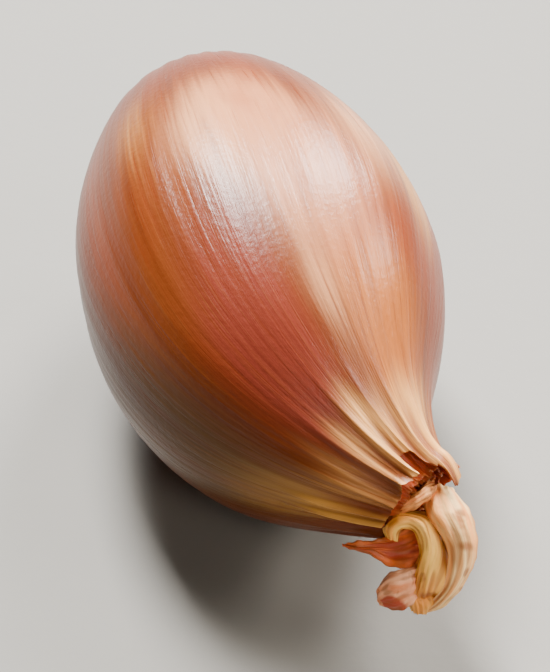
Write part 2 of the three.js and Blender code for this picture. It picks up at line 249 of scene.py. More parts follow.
def veins(station, angle):
    """Narrow bell-shaped ridges at uneven angles; each wanders a little as it runs along."""
    random = np.random.default_rng(3)
    total = np.zeros(np.broadcast(station, angle).shape)
    for k in range(VEINS):
        at = (k + random.uniform(-0.4, 0.4)) * 360 / VEINS
        wander = random.uniform(-2, 2) * np.sin(station / random.uniform(18, 40) + k)
        height = random.uniform(0.2, 1)
        total += height * ridge(angle - np.radians(wander), at, VEIN_WIDTH)
    return total


def pleats(station, angle):
    """Height times half minus |sin| of an uneven phase: sharp ridges with wide hollows."""
    phase = PLEAT_COUNT * angle / 2 + 0.9 * np.sin(2 * angle + 1) + 0.7 * np.sin(3 * angle)
    broad = PLEAT_HEIGHT * (0.5 - np.abs(np.sin(phase))) * ramp(station, PLEAT_START, OUTER_TEAR)
    fine_phase = FINE_PLEATS * angle + 2 * np.sin(3 * angle + 2) + 0.2 * station
    fine = FINE_PLEAT_HEIGHT * (0.5 - np.abs(np.sin(fine_phase)))
    return broad + fine * ramp(station, PLEAT_START, FINE_PLEAT_END)


def strand_shape(angle):
    """Two narrow bells side by side, the upper one a little higher."""
    upper = ridge(angle, STRAND_ANGLE + STRAND_GAP, 2.6)
    lower = ridge(angle, STRAND_ANGLE - STRAND_GAP, 2.2)
    return upper + 0.8 * lower


def relief(station, angle):
    """Swells, pleats, the straw-like strand, veins, puckers at the root end and soft dents."""
    lengthwise = np.sin(np.pi * np.minimum(station / OUTLINE_END, 1))
    swell = sum(h * np.cos(n * (angle - np.pi)) for n, h in SWELL) * lengthwise
    strand = STRAND_HEIGHT * strand_shape(angle) * ramp(station, STRAND_START, STRAND_START + 6)
    here = grain(station, angle)
    dents = DENT_HEIGHT * ripples(here * [1, 1, 0.35], DENT_SIZE, seed=5) * lengthwise
    streaks = STREAK_HEIGHT * ripples(here * [1, 1, 0.06], STREAK_SIZE, seed=6) * lengthwise
    pucker = PUCKER_HEIGHT * np.sin(PUCKERS * angle + 1.5 * np.sin(4 * angle))
    pucker = pucker * (1 - ramp(station, 1, 9))
    raised = VEIN_HEIGHT * veins(station, angle) * ramp(station, 0, 8)
    return swell + pleats(station, angle) + strand + dents + streaks + pucker + raised


def outline_radius(station):
    """Radius of the smooth outline, looked up in its table."""
    return np.interp(station, outline_table[:, 0], outline_table[:, 1])


sample = relief(np.linspace(0, OUTLINE_END, 60)[:, None], np.linspace(0, 6, 90)[None, :])
print(f"relief from {sample.min():.2f} to {sample.max():.2f} mm")


# %% [markdown]
# ## The torn collar
# At the neck the outer skin is torn across. Its edge is slanted, has one deeper notch and is
# ragged, with a few splits that run back along the fibres. Further layers stand inside it. A cut
# with a plane would leave a clean rim, so the edge is a function of the angle instead: a table
# gives its large steps, and waves and narrow splits make it ragged.


# %% Torn edges
SPLITS = 9
CURL_HEIGHT, LIP_HEIGHT, DROOP = 0.2, 0.7, 0.17
FLAP_ANGLE = 32  # degrees; the longest flap of torn skin, which droops
FLAP_WIDTH = 0.9  # radians


def ragged(angle, seed, size=1.0):
    """Coarse and fine waves round the edge, with narrow splits at seeded angles."""
    random = np.random.default_rng(seed)
    circle = grain(0, angle)
    edge = 0.35 * np.sin(5 * angle + 1) + 0.25 * np.sin(11 * angle + 1)
    edge = edge + 0.3 * ripples(circle, 5, seed) + 0.14 * ripples(circle, 1.6, seed + 1)
    for at in random.uniform(0, 360, SPLITS):
        depth, width = random.uniform(0.6, 2.2), math.radians(random.uniform(1.2, 2.6))
        edge = edge - depth * np.maximum(1 - np.abs(turn_from(at, angle)) / width, 0)
    return size * edge


def outer_tear(angle):
    """Distance along the axis of the outer skin's torn edge: a table, and a ragged part."""
    degrees, stations = np.array(TEAR).T
    return np.interp(np.degrees(angle), degrees, stations, period=360) + ragged(angle, 11, 0.3)


def outer_radius(station, angle):
    """Outline and relief, plus a flare, a curl and a lip, minus the droop of the long flap."""
    lifted = np.maximum(station - COLLAR_ROOT, 0) / (OUTLINE_END - COLLAR_ROOT)
    curl = CURL_HEIGHT * ripples(grain(0, angle), 9, seed=21) * ramp(station, 67, 72)
    lip = LIP_HEIGHT * bell(station, angle, 72, -36, 1.6, 24)
    over_flap = np.exp(-((turn_from(FLAP_ANGLE, angle) / FLAP_WIDTH) ** 2))
    droop = DROOP * np.maximum(station - 71, 0) ** 2 * over_flap
    smooth = outline_radius(station) + relief(station, angle)
    return smooth + FLARE * lifted**2 + curl + lip - droop


sample = outer_tear(np.linspace(0, 6, 360))
print(f"the outer skin ends {sample.min():.1f} to {sample.max():.1f} mm from the root end")


# %% [markdown]
# ## From arrays to meshes
# Three kinds of surface are enough: a closed skin over rings with a pole at each end, a band that
# closes on itself like a flattened tyre, and a sheet with two faces. All of them are grids, so one
# helper makes their faces. A modifier could thicken them, but then their torn edges would be cut
# square. A signed volume tells whether the faces look out, and turns them round if they don't.


# %% Faces of a grid
def grid_faces(rows, columns, wrap_rows=False):
    """Corner numbers of the quads of a grid that closes round its columns."""
    r = np.arange(rows if wrap_rows else rows - 1)[:, None]
    c = np.arange(columns)[None, :]
    r_next, c_next = (r + 1) % rows, (c + 1) % columns
    corners = [
        r * columns + c, r_next * columns + c, r_next * columns + c_next, r * columns + c_next,
    ]
    return np.stack(np.broadcast_arrays(*corners), -1).reshape(-1, 4)


def end_fans(rows, columns):
    """Triangles from both end rings of a grid to the two poles that follow its points."""
    c = np.arange(columns)
    end, pole = (rows - 1) * columns, np.full(columns, rows * columns)
    return np.concatenate([
        np.stack([c, (c + 1) % columns, pole], -1),
        np.stack([end + (c + 1) % columns, end + c, pole + 1], -1),
    ])


def signed_volume(points, faces):
    """Sum of the volumes between the origin and each face; negative if the faces look inwards."""
    a, b, c, d = (points[faces[:, i]] for i in (0, 1, 2, -1))
    both = np.cross(a, b) * c + np.cross(a, c) * d
    return both.sum() / 6


# %% A piece from points and faces
SHARP = 55  # degrees; a crease beyond this isn't shaded smooth


def piece(name, points, face_groups, finish, slot, node=None, **attributes):
    """A mesh object from points in millimetres and groups of faces, with values at its points."""
    volume = sum(signed_volume(points, faces) for faces in face_groups)
    turned_out = face_groups if volume > 0 else [group[:, ::-1] for group in face_groups]
    faces = [corners for group in turned_out for corners in group.tolist()]
    mesh = bpy.data.meshes.new(name)
    mesh.from_pydata((points * MM).tolist(), [], faces)
    mesh.polygons.foreach_set("use_smooth", np.ones(len(faces), bool))
    for key, values in attributes.items():
        kind, field = ("FLOAT_VECTOR", "vector") if values.ndim == 2 else ("FLOAT", "value")
        layer = mesh.attributes.new(key, kind, "POINT")
        layer.data.foreach_set(field, values.astype(np.float32).ravel())
    mesh.set_sharp_from_angle(angle=math.radians(SHARP))
    mesh.materials.append(finish)
    made = bpy.data.objects.new(name, mesh)
    bpy.context.scene.collection.objects.link(made)
    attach(made, "root")
    if node:
        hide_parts(node)
    triangles = sum(len(f) - 2 for f in faces)
    print(f"{name}: {triangles} triangles, {abs(volume) / 1000:.3f} cubic centimetres")


# %% Three kinds of closed surface
def flat(values):
    """Grid values as one row for each point."""
    return values.reshape((-1,) + values.shape[2:])


def with_poles(values):
    """Grid values as rows, and then the means of the first and of the last ring."""
    return np.concatenate([flat(values), np.stack([values[0].mean(0), values[-1].mean(0)])])


def closed_skin(name, rings, finish, slot, node, **attributes):
    """Skin over rings, closed at both ends by a fan round the middle of the end ring."""
    grid = rings.shape[:2]
    values = {key: with_poles(v) for key, v in attributes.items()}
    groups = [grid_faces(*grid), end_fans(*grid)]
    piece(name, with_poles(rings), groups, finish, slot, node, **values)


def closed_band(name, rings, finish, slot, **attributes):
    """A band whose rings go out along one face and back along the other."""
    values = {key: flat(v) for key, v in attributes.items()}
    faces = [grid_faces(*rings.shape[:2], wrap_rows=True)]
    piece(name, flat(rings), faces, finish, slot, **values)


def closed_sheet(name, upper, lower, finish, slot, node, **attributes):
    """A sheet between two grids of points, closed along its four edges."""
    rows, columns = upper.shape[:2]
    rings = np.concatenate([upper, lower[:, ::-1]], 1)
    c = np.arange(columns - 1)
    back = 2 * columns - 1
    near = np.stack([c, c + 1, back - c - 1, back - c], -1)
    far = near[:, ::-1] + (rows - 1) * 2 * columns
    both = {key: flat(np.concatenate([v, v[:, ::-1]], 1)) for key, v in attributes.items()}
    groups = [grid_faces(rows, 2 * columns), near, far]
    piece(name, flat(rings), groups, finish, slot, node, **both)


# %% [markdown]
# ## Writing a finish as nodes
# A finish is a node tree. Written out link by link it is hard to read, so a small helper adds one
# node for each call and gives back its output, and a pattern reads as a formula. Patterns read
# the attributes that the meshes carry, so that they follow the fibres round every bend.


# %% Node helpers
class Finish:
    """A material whose nodes are written as calls inside calls."""

    def __init__(self, name):
        """Starts with the surface node that a new material has."""
        self.material = bpy.data.materials.new(name)
        self.material.use_nodes = True
        self.tree = self.material.node_tree
        self.surface = self.tree.nodes["Principled BSDF"]

    def add(self, kind, output=0, settings=(), **inputs):
        """One node. Inputs are given by name or as _0, _1; each is a number or another output."""
        node = self.tree.nodes.new("ShaderNode" + kind)
        for key, value in dict(settings).items():
            setattr(node, key, value)
        for key, value in inputs.items():
            socket = node.inputs[int(key[1:])] if key[0] == "_" else node.inputs[key]
            self.connect(socket, value)
        return node.outputs[output]

    def connect(self, socket, value):
        """A link if the value is an output, and otherwise the socket's own number."""
        if isinstance(value, bpy.types.NodeSocket):
            self.tree.links.new(value, socket)
        else:
            socket.default_value = value

    def carried(self, name, output="Fac"):
        """An attribute of the mesh."""
        return self.add("Attribute", output, {"attribute_name": name})

    def math(self, operation, a, b=0.0):
        """One step of arithmetic on numbers or outputs."""
        return self.add("Math", 0, {"operation": operation}, _0=a, _1=b)

    def stretched(self, vector, along):
        """Fibre coordinates with their lengthwise part shrunk, which draws patterns out."""
        return self.add("VectorMath", 0, {"operation": "MULTIPLY"}, _0=vector, _1=(1, 1, along))

    def noise(self, vector, scale, detail=3.0, distortion=0.0):
        """Soft random pattern about 0.5; its scale is in spots per unit of the vector."""
        return self.add("TexNoise", "Fac", Vector=vector, Scale=scale, Detail=detail,
                        Distortion=distortion)

    def step(self, value, low, high):
        """0 below low, 1 above high and a smooth step between them."""
        return self.add("MapRange", 0, {"interpolation_type": "SMOOTHSTEP"},
                        _0=value, _1=low, _2=high)

    def blend(self, share, a, b):
        """Mix of two colours: a where the share is 0 and b where it is 1."""
        return self.add("Mix", 2, {"data_type": "RGBA"}, _0=share, _6=a, _7=b)

    def cover(self, colour, tone, share, most):
        """The tone laid over a colour by a share from 0 to 1, and never more than most of it."""
        return self.blend(self.math("MULTIPLY", share, most), colour, tone)

    def relief(self, height, depth, below=None):
        """Bump of a height from 0 to 1, as deep as depth in millimetres."""
        extra = {"Normal": below} if below else {}
        return self.add("Bump", 0, Height=height, Distance=depth * MM, Strength=1.0, **extra)

    def done(self, colour, roughness, normal, **constants):
        """Links the three patterns to the surface and sets its constants on their sockets."""
        self.connect(self.surface.inputs["Base Color"], colour)
        self.connect(self.surface.inputs["Roughness"], roughness)
        self.connect(self.surface.inputs["Normal"], normal)
        for key, value in constants.items():
            self.surface.inputs[key.replace("_", " ")].default_value = value
        print(f"{self.material.name}: {len(self.tree.nodes)} nodes")
        return self.material


# %% [markdown]
# ## The skin's finish
# The skin is copper brown and slightly see-through in its thin places, so its colour changes
# slowly over the bulb. It is pale where a dry layer has come away from the next, and this pale
# paper and a pink blush over the top of the bulb are also a painted highlight under the sheen. It
# is deep orange on the flanks and at the root end, made darker there as painted shade, dark olive
# on the lower side as painted shade with a painted green reflection, rose where the scales below
# show, and cream where it is gathered at the neck. A painted picture could say where, but the mesh
# can carry it too, as one value for each tone, and noise breaks up their borders. On top lie fine
# lengthwise fibres, darker veins and a few blemishes, and painted shade darkens the pleats'
# hollows at the neck.

# %% Skin
COPPER = (0.152, 0.033, 0.0065, 1)
RUST = (0.11, 0.021, 0.0035, 1)
ORANGE = (0.185, 0.0281, 0.00444, 1)
# Darker orange, laid on both flanks and towards the root end as painted shade
SHADED_ORANGE = (0.0888, 0.0111, 0.000888, 1)
# Dark olive on the lower side: painted shade with a painted green reflection
OLIVE_SHADE = (0.0814, 0.0385, 0.00296, 1)
ROSE = (0.155, 0.0229, 0.0133, 1)
# A pink blush, and over the top of the bulb also a painted highlight
BLUSH_AND_HIGHLIGHT = (0.311, 0.074, 0.0259, 1)
# Pale paper, laid over the top of the bulb also as a painted highlight
PAPER_HIGHLIGHT_PINK = (0.68, 0.332, 0.162, 1)
PEACH = (0.444, 0.126, 0.0222, 1)
CREAM = (0.748, 0.357, 0.102, 1)
STRAW = (0.731, 0.357, 0.0765, 1)
RED_BROWN = (0.42, 0.055, 0.010, 1)
FIBRE_BROWN = (0.15, 0.025, 0.007, 1)
SOIL = (0.06, 0.035, 0.02, 1)

# Each tone is laid over the ones before it: the mesh's mask, its colour and how much of it shows.
TONES = [
    ("paper_and_highlight", PAPER_HIGHLIGHT_PINK, 0.82), ("orange", ORANGE, 0.9), ("olive_shade", OLIVE_SHADE, 0.85),
    ("rose", ROSE, 0.9), ("blush_and_highlight", BLUSH_AND_HIGHLIGHT, 0.6), ("peach", PEACH, 0.85),
    ("cream", CREAM, 0.95), ("straw", STRAW, 0.9), ("deep", SHADED_ORANGE, 0.85),
]


def skin_finish():
    """Copper, then each tone by its mask, then fibres, veins, painted shade in the pleats' valleys
    and soil.
    """
    f = Finish("shallot_skin")
    fibres = f.carried("grain", "Vector")
    long_noise = f.noise(f.stretched(fibres, 0.05), 0.55, 4)
    fine_noise = f.noise(f.stretched(fibres, 0.035), 2.2, 5, 0.3)
    hair_noise = f.noise(f.stretched(fibres, 0.02), 6.0, 2)
    cloud = f.noise(f.stretched(fibres, 0.5), 0.16, 3)

    uneven = f.math("MULTIPLY", fine_noise, 0.8)
    uneven = f.math("ADD", f.math("MULTIPLY", long_noise, 1.2), uneven)
    colour = f.blend(f.step(long_noise, 0.32, 0.62), RUST, COPPER)
    # Some tones are painted light: paper and blush add a painted highlight on top, olive and the
    # flank tone add painted shade
    for name, tone, most in TONES:
        share = f.step(f.math("MULTIPLY", f.carried(name), uneven), 0.1, 0.95)
        colour = f.cover(colour, tone, share, most)
    colour = f.cover(colour, ORANGE, f.step(cloud, 0.5, 0.75), 0.3)
    rusty = f.noise(f.stretched(fibres, 0.12), 0.35, 3)
    colour = f.cover(colour, RUST, f.step(rusty, 0.52, 0.72), 0.4)

    colour = f.cover(colour, PEACH, f.step(fine_noise, 0.55, 0.75), 0.10)
    dark_lines = f.math("SUBTRACT", 1.0, f.step(fine_noise, 0.28, 0.45))
    colour = f.cover(colour, FIBRE_BROWN, dark_lines, 0.30)
    colour = f.cover(colour, FIBRE_BROWN, f.step(f.carried("vein"), 0.35, 1.1), 0.16)
    colour = f.cover(colour, CREAM, f.step(hair_noise, 0.55, 0.8), 0.06)
    # Painted shade: the pleats' hollows are darkened
    colour = f.cover(colour, FIBRE_BROWN, f.carried("pleat_shade"), 0.8)
    colour = f.cover(colour, RED_BROWN, f.carried("inside"), 0.9)
    soil = f.step(f.noise(fibres, 1.1, 4), 0.62, 0.78)
    colour = f.cover(colour, SOIL, soil, f.carried("root_end"))

    roughness = f.math("ADD", 0.24, f.math("MULTIPLY", fine_noise, 0.10))
    normal = f.relief(fine_noise, 0.06)
    normal = f.relief(hair_noise, 0.02, normal)
    normal = f.relief(f.noise(fibres, 1.4, 4), 0.05, normal)
    return f.done(colour, roughness, normal, IOR=1.42, Specular_IOR_Level=0.3)


skin = skin_finish()

# %% [markdown]
# ## Where the skin's tones lie
# A tone's mask is a sum of bells over the distance along the axis and the angle round it, written
# as a table. Its numbers are read as places on the bulb: 0 degrees is the top, -90 the side with
# the notch and 90 the other. Ramps and streaks are added where a tone follows an end or a fibre.


# %% Tone masks
PATCHES = {
    # of each bell: strength, place along the axis, degrees round it, length, width in degrees
    # pale paper: a real pale patch, and over the top of the bulb a painted highlight
    "paper_and_highlight": [
        (1, 26, -4, 11, 22), (0.7, 42, 16, 13, 17), (0.6, 26, 45, 12, 14), (0.35, 54, 4, 5, 9),
        (0.5, 34, -150, 20, 20),
    ],
    "rose": [(1, 58, -32, 9, 26), (0.75, 48, -22, 12, 16), (0.8, 50, 150, 16, 40)],
    "orange": [
        (1, 26, -72, 24, 20), (1, 50, 80, 22, 24), (0.7, 30, 180, 26, 30), (0.8, 34, 78, 24, 22),
        (0.8, 46, 44, 7, 10),
    ],
    # olive: painted shade on the lower side, turned from the light
    "olive_shade": [(1, 54, -92, 14, 28), (0.5, 40, -85, 12, 16)],
    # blush: a pink patch, and over the top of the bulb a painted highlight
    "blush_and_highlight": [(1, 42, 22, 13, 18), (0.8, 26, 0, 14, 22), (0.5, 30, -140, 18, 18)],
    "peach": [(1, 58, 30, 12, 24), (0.5, 64, 110, 8, 60)],
    "cream": [
        (0.7, 67, -33, 4, 5), (0.5, 67, -12, 4, 9), (0.3, 68, -60, 4, 14),
        (0.9, 71.8, -36, 0.9, 20),
    ],
    "straw": [
        (0.5, 33, 60, 13, 12), (0.3, 20, -38, 12, 12), (0.25, 66, -72, 5, 34),
        (0.35, 61, -95, 6, 22),
    ],
    # painted shade: darker on both flanks, and towards the root end in tones()
    "deep": [(1.1, 28, -86, 22, 20), (1, 28, 98, 26, 24)],
}


def tones(station, angle):
    """Sums of bells, plus ramps at the ends, streaks along the fibres and the strand's shape."""
    station, angle = np.broadcast_arrays(station, angle)
    masks = {"grain": grain(station, angle)}
    for tone, bells in PATCHES.items():
        masks[tone] = sum(strength * bell(station, angle, *place) for strength, *place in bells)
    streaky = ripples(masks["grain"] * [1, 1, 0.08], 5, seed=31) * ramp(station, 55, 66)
    gathered = 0.75 * bell(station, angle, 68, 26, 9, 34) + 0.2
    masks["orange"] += 0.9 * (1 - ramp(station, 4, 16))
    masks["cream"] += ramp(station, 57, 68) * gathered + 0.12 * streaky
    masks["straw"] += ramp(station, 62, 67) * strand_shape(angle)
    masks["straw"] += 0.4 * (1 - ramp(station, 0.2, 1.6))
    # Painted shade: darker towards the root end
    masks["deep"] += 1.2 * (1 - ramp(station, 2, 20))
    # Painted shade in the pleats' hollows near the neck
    masks["pleat_shade"] = ramp(-pleats(station, angle), 0.05, 0.35) * ramp(station, 62, 69)
    masks["vein"] = veins(station, angle)
    masks["root_end"] = 1 - ramp(station, 1, 7)
    return masks


print("bells of each tone:", {tone: len(bells) for tone, bells in PATCHES.items()})

# %% [markdown]
# ## The outer skin
# The outermost dry skin wraps the whole bulb and ends in the torn collar. A lathed body and a
# collar of its own would show a seam, so both are one closed skin. Its rings start at the socket
# of the root plate, run over the outside to the torn edge, turn back under it and close in the
# cup that holds the leaves. The rows are spread as the outline's control points are: close
# together at both ends, where the form changes fast.

# %% The bulb with its outer skin
AROUND = 432
ALONG = 184
UNDER_ROWS = 9  # rings of the underside of the torn edge
EDGE = 0.08  # how far the underside stays behind the edge
PAPER = 0.2  # thickness of a dry skin
around = np.arange(AROUND)[None, :] * 2 * np.pi / AROUND


def outer_skin():
    """Rings at (station, radius) pairs: outline stretched to the tear, then back and inwards."""
    plain = b_spline(OUTLINE, np.linspace(0, 1, ALONG))
    stretch = ramp(plain[:, :1], COLLAR_ROOT - 10, OUTLINE_END)
    over = plain[:, :1] + stretch * (outer_tear(around) - OUTLINE_END)
    inward = np.linspace(0, 1, UNDER_ROWS)[:, None]
    under = (1 - inward) * (outer_tear(around) - EDGE) + inward * COLLAR_ROOT
    socket = [[PLATE_DEPTH, 0.4], [PLATE_DEPTH, PLATE_RADIUS + GAP]]
    cup = [[63, 7.5], [64.5, 5.5], [CUP_FLOOR, 3], [CUP_FLOOR, 0.5]]
    ring = np.ones((1, AROUND))
    station = np.concatenate([at * ring for at, _ in socket] + [over, under]
                             + [at * ring for at, _ in cup])
    radius = np.concatenate([r * ring for _, r in socket]
                            + [outer_radius(over, around), outer_radius(under, around) - PAPER]
                            + [r * ring for _, r in cup])
    inside = np.zeros(station.shape)
    inside[len(socket) + ALONG:] = 1
    return station, radius, inside


station, radius, inside = outer_skin()
closed_skin("bulb_skin", around_axis(station, around, radius), skin, "bulb_skin", "bulb",
            inside=inside, **tones(station, around))

# %% [markdown]
# ## Layers inside the collar
# A shallot dries in several layers, and two more skins stand inside the outer one. A sheet without
# a thickness would vanish at its torn edge, so each is a band that goes out along one face and
# comes back along the other, a paper's thickness further in.


# %% Inner skins of the collar
MIDDLE_GAP = 1.25  # how far the middle skin lies under the outer one
LAYER_ROWS = 24
SHORTER = 0.05  # the inner face ends this much before the outer one


def middle_tear(angle):
    """Distance along the axis of the middle skin's edge: a slant and a ragged part."""
    return 71 + 0.6 * np.cos(angle - math.radians(20)) + ragged(angle, seed=12, size=0.3)


def middle_radius(station, angle):
    """A good millimetre under the outer skin, and wavy."""
    under = MIDDLE_GAP + 0.15 * ripples(grain(station, angle) * [1, 1, 0.1], 6, seed=22)
    return outline_radius(station) + 0.5 * pleats(station, angle) - under


def inner_tear(angle):
    """Distance along the axis of the inner skin's edge: a slant and a ragged part."""
    return 70.8 + 0.6 * np.cos(angle) + ragged(angle, seed=13, size=0.3)


def inner_radius(station, angle):
    """Smaller than the outline, with pleats of its own."""
    own = 0.3 * ripples(grain(station, angle) * [1, 1, 0.12], 4, seed=23)
    return 0.9 * outline_radius(station) - 1.7 + own + 0.3 * pleats(station, angle + 0.3)


def collar_layer(name, tear, radius_of, start):
    """Rings from the start to the tear on the outer face, and back on the inner face."""
    share = np.linspace(0, 1, LAYER_ROWS)[:, None]
    out = start + share * (tear(around) - start)
    station = np.concatenate([out, out[::-1] - SHORTER])
    radius = np.concatenate([radius_of(out, around), radius_of(out[::-1], around) - PAPER])
    edge = np.concatenate([share, share[::-1]]) * np.ones_like(around)
    masks = tones(station, around)
    masks["cream"] = 0.5 * ramp(edge, 0.9, 1.0)
    masks["rose"] = 0.9 * (1 - ramp(edge, 0.8, 1))
    closed_band(name, around_axis(station, around, radius), skin, "bulb_skin",
                inside=1 - 0.5 * ramp(edge, 0.9, 1), **masks)


collar_layer("middle_skin", middle_tear, middle_radius, 63)
collar_layer("inner_skin", inner_tear, inner_radius, 64)

# %% [markdown]
# ## The dried leaves' finish
# The leaf bases have dried to a tough paper: cream and golden on the outside, orange-brown inside
# and at the torn ends, with darker fibre lines, a few brown spots and brown stains. Some stains
# lie where one leaf shades another and are painted shade, and the crinkles' hollows are darkened
# as painted shade. Each leaf could have a finish of its own, but they are one plant, so one
# function makes them all from two tones each.

# %% Leaf paper
LEAF_TONES = {
    "cream": ((0.95, 0.62, 0.26, 1), (0.88, 0.32, 0.07, 1)),
    "golden": ((0.95, 0.52, 0.09, 1), (0.78, 0.28, 0.03, 1)),
    "orange": ((0.62, 0.12, 0.015, 1), (0.34, 0.045, 0.010, 1)),
    "pink": ((0.94, 0.45, 0.24, 1), (0.78, 0.22, 0.07, 1)),
    "peach": ((0.92, 0.40, 0.12, 1), (0.70, 0.18, 0.04, 1)),
}
TORN_END = (0.40, 0.048, 0.012, 1)
SPOT = (0.30, 0.075, 0.010, 1)


def leaf_finish(tone):
    """Two tones streaked along the blade, brown edges and ends, spots, stains that are partly
    painted shade, painted shade in the crinkles and dark fibre lines.
    """
    f = Finish(f"leaf_{tone}")
    light, dark = LEAF_TONES[tone]
    blade = f.carried("grain", "Vector")
    long_noise = f.noise(f.stretched(blade, 0.15), 0.9, 4)
    fine_noise = f.noise(f.stretched(blade, 0.08), 3.2, 4, 0.3)
    colour = f.blend(f.step(long_noise, 0.42, 0.66), light, dark)
    colour = f.cover(colour, dark, f.step(fine_noise, 0.5, 0.72), 0.6)
    freckles = f.step(f.noise(blade, 0.55, 2), 0.60, 0.68)
    colour = f.cover(colour, SPOT, freckles, 0.6)
    uneven = f.math("MULTIPLY", f.math("SUBTRACT", long_noise, 0.5), 1.1)
    # Stains: real brown stains, and in places painted shade where one leaf lies beside another
    stain = f.step(f.math("ADD", f.carried("stain"), uneven), 0.3, 1.3)
    colour = f.cover(colour, SPOT, stain, 0.75)
    torn = f.math("ADD", f.carried("torn"), uneven)
    colour = f.blend(f.step(torn, 0.35, 0.9), colour, TORN_END)
    # Painted shade: the crinkles' hollows are darkened
    colour = f.cover(colour, SPOT, f.step(f.carried("crease"), 0.1, 1.1), 0.55)
    edge = f.math("ADD", f.carried("edge"), f.math("MULTIPLY", fine_noise, 0.12))
    colour = f.cover(colour, SPOT, f.step(edge, 0.93, 1.08), 0.7)
    roughness = f.math("ADD", 0.42, f.math("MULTIPLY", fine_noise, 0.2))
    normal = f.relief(fine_noise, 0.16)
    normal = f.relief(f.noise(blade, 2.2, 4), 0.08, normal)
    return f.done(colour, roughness, normal, IOR=1.45)


leaf_paper = {tone: leaf_finish(tone) for tone in LEAF_TONES}

# %% [markdown]
# ## Leaves from nets
# The dried leaves are crumpled, and each curls its own way. A simulated cloth would crumple too,
# but not into a given form, so each leaf is a small net of listed points. A row of the net
# crosses the leaf, and the rows follow it from its base to its tip. Smooth curves through the
# points make the sheet. Ridges, wrinkles and ragged edges are then added to it.

# %% The nets
RIBBON = [
    [[34.4, 10.3, 18.4], [35, 11.3, 19.2], [35.2, 12.5, 18.8], [34.9, 13.6, 17.9]],
    [[36.6, 9.6, 18.6], [37, 10.7, 19.9], [37.4, 12.2, 19.9], [36.7, 13.7, 18.3]],
    [[38.2, 9.5, 17.8], [39.2, 10.6, 19.3], [39.5, 12.6, 19.3], [38.2, 14.6, 17.4]],
    [[39.7, 10.2, 17], [40.8, 11.2, 18.2], [40.9, 13.1, 17.9], [39.5, 14.9, 15.7]],
    [[41, 11.1, 15.3], [42, 11.8, 16.5], [41.9, 13.4, 16.1], [40.5, 14.9, 13.9]],
    [[41.7, 11.1, 13.4], [42.6, 11.9, 14.1], [42.3, 13.2, 13.5], [41, 14.5, 11.7]],
    [[42.1, 10.7, 10.8], [42.8, 11.4, 11.4], [42.5, 12.4, 11.1], [41.4, 13.4, 9.8]],
    [[41.8, 9.9, 8.7], [42.6, 10.5, 9.1], [42.4, 11.2, 8.9], [41.6, 12, 8.1]],
    [[41.2, 8.9, 6.7], [41.9, 9.5, 7], [41.8, 10.2, 7], [41.4, 11, 6.6]],
    [[40.7, 8.4, 5.5], [40.9, 8.5, 5.6], [41, 8.8, 5.6], [40.9, 9.1, 5.5]],
]
GOLDEN = [
    [[38.8, 6.3, 15.2], [39.2, 5.9, 15.9], [39.2, 5.4, 16.3],
     [38.6, 5.2, 16], [37.7, 5.2, 15.4], [37, 5.3, 14.8]],
    [[38.5, 6.7, 16.2], [39.1, 6, 17.1], [39, 5.4, 17.7],
     [38, 5.1, 17.1], [37.1, 5.3, 16.4], [36.3, 5.8, 15.6]],
    [[38.4, 7.1, 16.7], [39.1, 6.6, 17.9], [39, 6.2, 18.6],
     [37.8, 6.2, 18.2], [36.8, 6.5, 17.4], [36, 7.3, 16.5]],
    [[38.4, 7.7, 16.5], [39.1, 7.5, 17.8], [39.3, 7.4, 18.8],
     [38.2, 7.6, 18.5], [37.3, 8.2, 17.8], [36.5, 8.8, 17.1]],
    [[38.7, 8.2, 16], [39.5, 8.2, 17.3], [40, 8.4, 18.4],
     [39.1, 9.2, 18.2], [38.5, 9.8, 17.9], [37.8, 10.8, 17.1]],
    [[39.4, 8.5, 15.2], [40.2, 8.6, 16.4], [40.8, 8.9, 17.4],
     [40.2, 9.6, 17.1], [39.8, 10.6, 16.7], [39, 12, 15.9]],
    [[39.8, 8.6, 14.2], [40.7, 8.7, 15.2], [41.4, 8.9, 16],
     [41.2, 9.7, 15.8], [40.9, 10.8, 15.3], [40.2, 12.2, 14.3]],
    [[40.2, 8.2, 13.3], [41.2, 8.3, 14], [42, 8.5, 14.6],
     [42.3, 9.1, 14.4], [42.1, 10.5, 13.8], [41.3, 12, 12.6]],
    [[40.6, 7.7, 12.2], [41.7, 7.7, 12.8], [42.4, 8, 13.1],
     [42.8, 8.7, 13], [42.6, 10, 12.3], [41.9, 11.6, 11]],
    [[41, 7.2, 11], [42, 7.2, 11.3], [42.7, 7.6, 11.5],
     [43, 8.3, 11.3], [42.7, 9.5, 10.7], [41.8, 10.9, 9.7]],
    [[41.3, 7, 9.9], [42, 7.1, 10], [42.2, 7.5, 9.6],
     [41.9, 8.5, 9.1], [41.8, 9.6, 8.9], [41.3, 10.9, 8.4]],
    [[41.6, 6.8, 8.6], [42.2, 7.1, 8.7], [42.3, 7.8, 8.5],
     [42.2, 8.7, 8.2], [41.9, 9.8, 8], [41.4, 11, 7.5]],
    [[41.3, 7.5, 6.7], [41.6, 7.6, 6.7], [41.8, 8.1, 6.5],
     [41.7, 8.8, 6.3], [41.5, 9.6, 6.2], [41.2, 10.5, 6.1]],
]
LINING = [
    [[37.8, 0.3, 15.3], [37.9, 0.3, 15.3], [38, 0.4, 15.1]],
    [[38.3, 2, 15.8], [38.4, 2, 15.1], [39, 1.8, 15]],
    [[38.6, 3.8, 16], [38.7, 3.8, 14.6], [39.9, 3.5, 14.5]],
    [[38.3, 5.4, 15.8], [38.7, 5.6, 13.9], [40.7, 5, 13.5]],
    [[37.9, 6.9, 16], [38.5, 7.2, 13.7], [41.1, 6.5, 13.1]],
    [[37.8, 8.2, 16.4], [38.5, 8.4, 14], [40.8, 8.1, 13]],
    [[37.7, 9.2, 15.8], [38.4, 9.5, 13.8], [40, 9.2, 12.6]],
]
